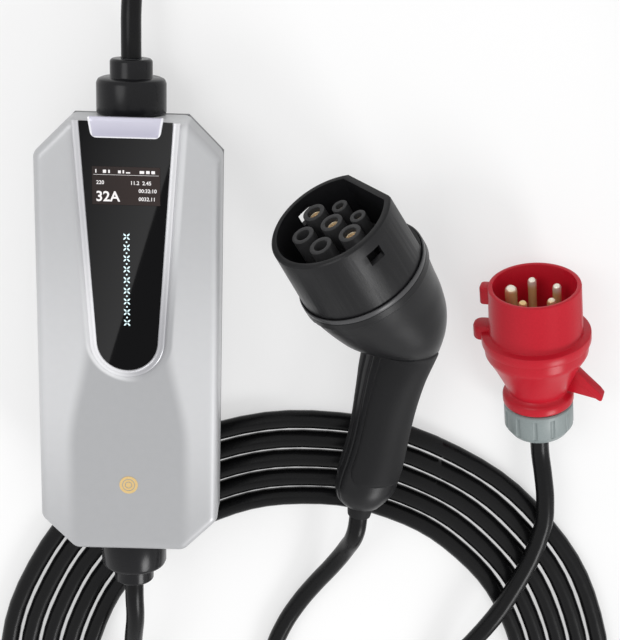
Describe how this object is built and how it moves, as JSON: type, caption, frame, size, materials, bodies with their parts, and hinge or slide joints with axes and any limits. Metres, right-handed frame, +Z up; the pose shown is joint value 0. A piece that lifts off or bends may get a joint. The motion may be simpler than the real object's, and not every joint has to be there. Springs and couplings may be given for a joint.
{
  "type": "portable electric car charger",
  "caption": "Portable charger for an electric car: control box, coiled charging cable with a vehicle connector, and a supply cable with an industrial plug.",
  "frame": {"origin": "on the ground below the middle of the control box with its glands", "axes": "X across the control box, +Y along the box towards its supply end, +Z up out of its front"},
  "size_m": [0.4201, 0.7007, 0.0932],
  "materials": {
    "silver_cover": "satin silver lacquer",
    "back_grey": "satin",
    "rubber_black": "matt",
    "trim_white": "satin silver white",
    "panel_black": "high gloss",
    "plate_lavender": "satin",
    "display_brown": "glossy with white figures",
    "light_cyan": "translucent, lit",
    "gold": "satin",
    "sensor_copper": "satin",
    "board_green": "satin",
    "screw_steel": "satin",
    "ribbon_grey": "satin",
    "relay_black": "satin",
    "coil_yellow": "satin",
    "can_blue": "gloss",
    "core_grey": "matt",
    "terminal_green": "satin",
    "core_sheath": "matt",
    "gland_black": "satin",
    "gun_black": "satin, finely grained",
    "carrier_black": "satin",
    "contact_brass": "satin",
    "collar_grey": "satin",
    "grip_rubber": "matt",
    "plug_red": "satin gloss",
    "insert_pale": "matt",
    "pin_bright": "bright",
    "nut_grey": "satin",
    "cable_black": "satin"
  },
  "bodies": {
    "root": {"front_cover": "silver_cover", "back_cover": "back_grey", "cover_gasket": "rubber_black", "top_gland_seal": "rubber_black", "bottom_gland_seal": "rubber_black", "bezel_trim": "trim_white", "glass_panel": "panel_black", "name_plate": "plate_lavender", "display_module": "display_brown", "light_guide": "light_cyan", "touch_mark": "gold", "touch_sensor": "sensor_copper", "front_board": "board_green", "main_board": "board_green", "board_screws": "screw_steel", "cover_screws": "screw_steel", "shell_screws": "screw_steel", "terminal_screws": "screw_steel", "board_link": "ribbon_grey", "relays": "relay_black", "power_supply": "coil_yellow", "capacitors": "can_blue", "current_sensor": "core_grey", "terminal_blocks": "terminal_green", "supply_tail": "core_sheath", "charge_tail": "core_sheath", "gun_tail": "core_sheath", "plug_tail": "core_sheath", "top_gland": "gland_black", "bottom_gland": "gland_black", "top_gland_nut": "gland_black", "bottom_gland_nut": "gland_black", "nozzle": "gun_black", "left_shell": "gun_black", "right_shell": "gun_black", "contact_carrier": "carrier_black", "power_contacts": "contact_brass", "signal_contacts": "contact_brass", "collar_ring": "collar_grey", "left_grip": "grip_rubber", "right_grip": "grip_rubber", "gun_boot": "grip_rubber", "cord_grip": "grip_rubber", "plug_shroud": "plug_red", "plug_body": "plug_red", "pin_carrier": "insert_pale", "phase_pins": "pin_bright", "earth_pin": "pin_bright", "gland_nut": "nut_grey", "supply_cable": "cable_black", "charge_lead_box": "cable_black", "charge_coil": "cable_black", "charge_lead_gun": "cable_black"}
  },
  "joints": []
}
